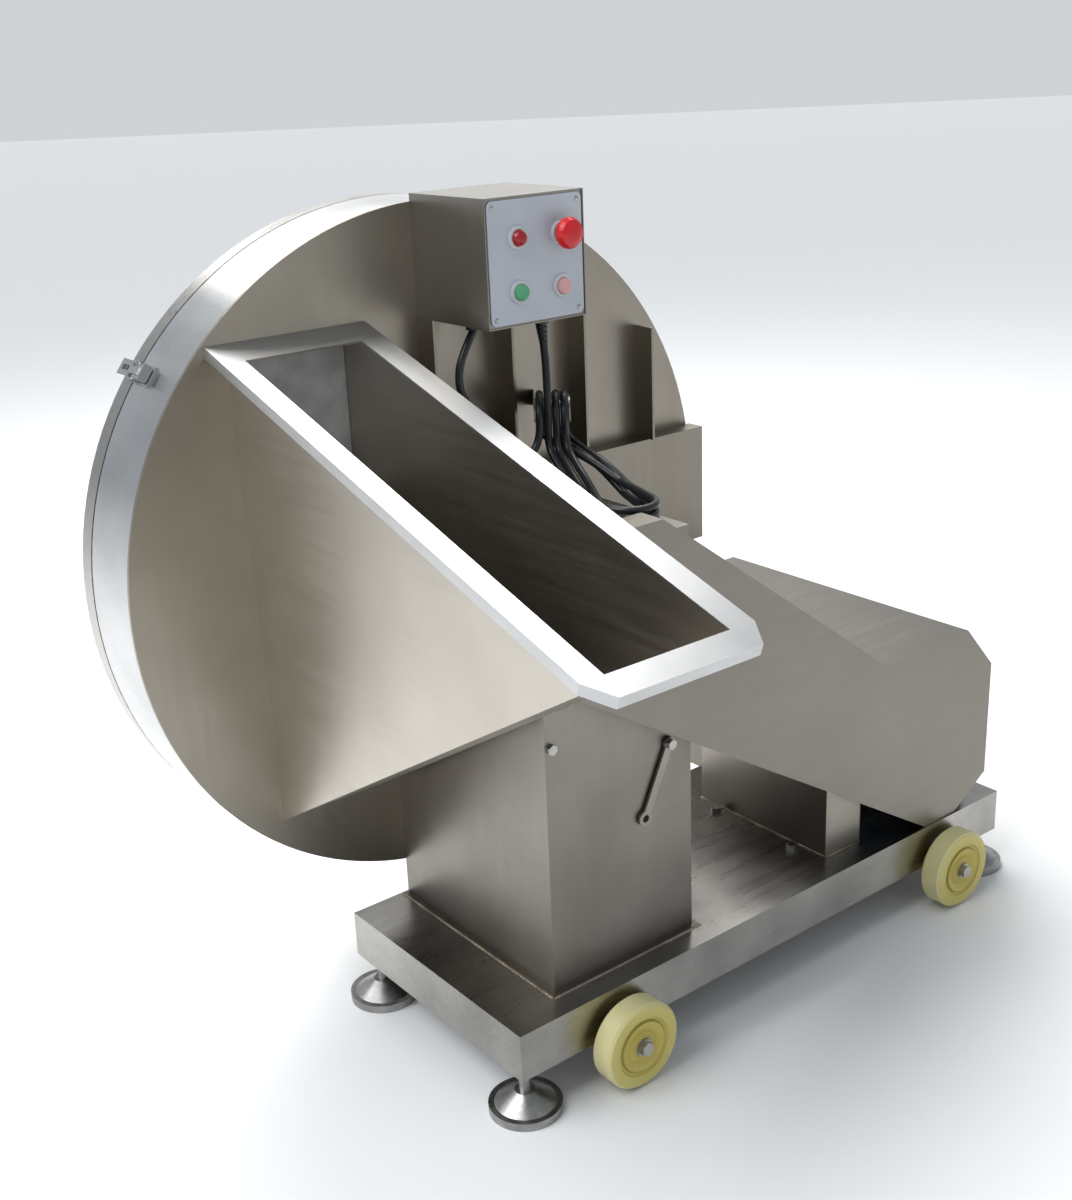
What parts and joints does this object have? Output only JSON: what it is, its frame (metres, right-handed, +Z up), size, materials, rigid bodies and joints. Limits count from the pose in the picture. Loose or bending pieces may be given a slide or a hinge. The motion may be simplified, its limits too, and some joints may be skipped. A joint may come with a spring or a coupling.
{
  "type": "frozen meat block flaker",
  "caption": "Wheeled stainless flaker: inclined hopper feeds frozen blocks to a knife disc in an upright drum, belt driven under a sloping guard.",
  "frame": {"origin": "on the floor, under the middle of the whole footprint", "axes": "+X along the base pan from the drum end to the motor end, +Y from the hopper's tip back to the rear door, +Z up"},
  "size_m": [1.304, 0.963, 1.152],
  "materials": {
    "stainless": "brushed, slightly stained",
    "bright_stainless": "bright, finely brushed",
    "hardware": "machined, bright",
    "forged_steel": "ground",
    "motor_paint": "satin, grey-blue",
    "wheel_yellow": "moulded, dusty",
    "panel_grey": "satin",
    "red_gloss": "glossy",
    "green_gloss": "glossy",
    "white_plastic": "satin",
    "black_plastic": "matte",
    "black_rubber": "matte",
    "belt_rubber": "matte",
    "cast_iron": "machined faces",
    "gasket": "food-grade grey"
  },
  "bodies": {
    "frame": {"base_pan": "stainless", "foot_lock_nuts": "hardware", "wheel_axles": "hardware", "pedestal": "stainless", "drum_front_plate": "stainless", "drum_band": "bright_stainless", "front_stiffeners": "stainless", "door_hinge_fixed": "hardware", "latch_base": "bright_stainless", "bearing_units": "cast_iron", "drive_belts": "belt_rubber", "motor_body": "motor_paint", "motor_cowl": "motor_paint", "motor_slide_plate": "forged_steel", "belt_guard": "stainless", "motor_cover": "stainless", "cover_post": "stainless", "fixing_bolts": "hardware", "hopper_body": "stainless", "hopper_rim": "bright_stainless", "control_box": "stainless", "control_panel": "panel_grey", "pilot_lamp": "red_gloss", "button_bezels": "white_plastic", "contact_blocks": "black_plastic", "cable_glands": "black_plastic", "motor_lead": "black_rubber", "power_cord": "black_rubber", "cord_hank": "black_rubber", "cord_tail": "black_rubber", "cord_saddle": "stainless", "power_plug": "red_gloss"},
    "spindle_rotor": {"spindle": "forged_steel", "cutter_disc": "forged_steel", "knives": "forged_steel", "knife_screws": "hardware", "disc_nut": "hardware", "spindle_pulley": "cast_iron"},
    "motor_rotor": {"motor_shaft": "forged_steel", "motor_pulley": "cast_iron", "motor_fan": "black_plastic"},
    "door": {"rear_door": "stainless", "door_gasket": "gasket", "door_hinge_moving": "hardware", "discharge_chute": "stainless"},
    "latch_lever": {"latch_lever": "hardware"},
    "latch_claw": {"latch_claw": "bright_stainless"},
    "clamp_lever": {"clamp_lever": "hardware"},
    "start_button": {"start_button": "green_gloss"},
    "stop_button": {"stop_button": "red_gloss"},
    "estop_stem": {"estop_stem": "black_plastic"},
    "estop_head": {"estop_head": "red_gloss"},
    "foot_front_left": {"foot_front_left": "hardware"},
    "foot_front_right": {"foot_front_right": "hardware"},
    "foot_rear_left": {"foot_rear_left": "hardware"},
    "foot_rear_right": {"foot_rear_right": "hardware"},
    "wheel_front_left": {"wheel_front_left": "wheel_yellow"},
    "wheel_front_right": {"wheel_front_right": "wheel_yellow"},
    "wheel_rear_left": {"wheel_rear_left": "wheel_yellow"},
    "wheel_rear_right": {"wheel_rear_right": "wheel_yellow"}
  },
  "joints": [
    {"name": "spindle_spin", "type": "hinge", "parent": "frame", "child": "spindle_rotor", "pos_m": [-0.172, 0.2585, 0.662], "axis": [0, 1, 0], "continuous": true},
    {"name": "motor_spin", "type": "hinge", "parent": "frame", "child": "motor_rotor", "pos_m": [0.441, -0.0655, 0.287], "axis": [0, 1, 0], "continuous": true},
    {"name": "wheel_front_left_roll", "type": "hinge", "parent": "frame", "child": "wheel_front_left", "pos_m": [-0.203, -0.1635, 0.064], "axis": [0, 1, 0], "continuous": true},
    {"name": "wheel_front_right_roll", "type": "hinge", "parent": "frame", "child": "wheel_front_right", "pos_m": [0.481, -0.1635, 0.064], "axis": [0, 1, 0], "continuous": true},
    {"name": "wheel_rear_left_roll", "type": "hinge", "parent": "frame", "child": "wheel_rear_left", "pos_m": [-0.203, 0.2925, 0.064], "axis": [0, 1, 0], "continuous": true},
    {"name": "wheel_rear_right_roll", "type": "hinge", "parent": "frame", "child": "wheel_rear_right", "pos_m": [0.481, 0.2925, 0.064], "axis": [0, 1, 0], "continuous": true},
    {"name": "foot_front_left_screw", "type": "hinge", "parent": "frame", "child": "foot_front_left", "pos_m": [-0.35, -0.1075, 0.04], "axis": [0, 0, 1], "continuous": true},
    {"name": "foot_front_right_screw", "type": "hinge", "parent": "frame", "child": "foot_front_right", "pos_m": [0.602, -0.1075, 0.04], "axis": [0, 0, 1], "continuous": true},
    {"name": "foot_rear_left_screw", "type": "hinge", "parent": "frame", "child": "foot_rear_left", "pos_m": [-0.35, 0.2365, 0.04], "axis": [0, 0, 1], "continuous": true},
    {"name": "foot_rear_right_screw", "type": "hinge", "parent": "frame", "child": "foot_rear_right", "pos_m": [0.602, 0.2365, 0.04], "axis": [0, 0, 1], "continuous": true},
    {"name": "rear_door_swing", "type": "hinge", "parent": "frame", "child": "door", "pos_m": [0.32, 0.372, 0.662], "axis": [0, 0, -1], "range_deg": [0, 110]},
    {"name": "latch_lever_lift", "type": "hinge", "parent": "frame", "child": "latch_lever", "pos_m": [-0.56022, 0.3565, 0.96097], "axis": [-0.6101, 0, -0.7923], "range_deg": [0, 55]},
    {"name": "latch_claw_swing", "type": "hinge", "parent": "latch_lever", "child": "latch_claw", "pos_m": [-0.56022, 0.3425, 0.96097], "axis": [-0.6101, 0, -0.7923], "range_deg": [-49.5, 0]},
    {"name": "clamp_lever_turn", "type": "hinge", "parent": "frame", "child": "clamp_lever", "pos_m": [-0.072, -0.0955, 0.43943], "axis": [0, 1, 0], "range_deg": [-30, 45]},
    {"name": "start_button_press", "type": "slide", "parent": "frame", "child": "start_button", "axis": [0, 1, 0], "range_m": [0, 0.004], "stiffness_N_per_m": 400, "springref_m": -0.001},
    {"name": "stop_button_press", "type": "slide", "parent": "frame", "child": "stop_button", "axis": [0, 1, 0], "range_m": [0, 0.004], "stiffness_N_per_m": 400, "springref_m": -0.001},
    {"name": "estop_press", "type": "slide", "parent": "frame", "child": "estop_stem", "axis": [0, 1, 0], "range_m": [0, 0.005]},
    {"name": "estop_twist", "type": "hinge", "parent": "estop_stem", "child": "estop_head", "pos_m": [-0.076, 0.0745, 1.1], "axis": [0, 1, 0], "range_deg": [0, 30]}
  ],
  "couplings": [
    {"joint": "motor_spin", "follows": "spindle_spin", "ratio": 2.3174},
    {"joint": "latch_claw_swing", "follows": "latch_lever_lift", "ratio": -0.9}
  ]
}
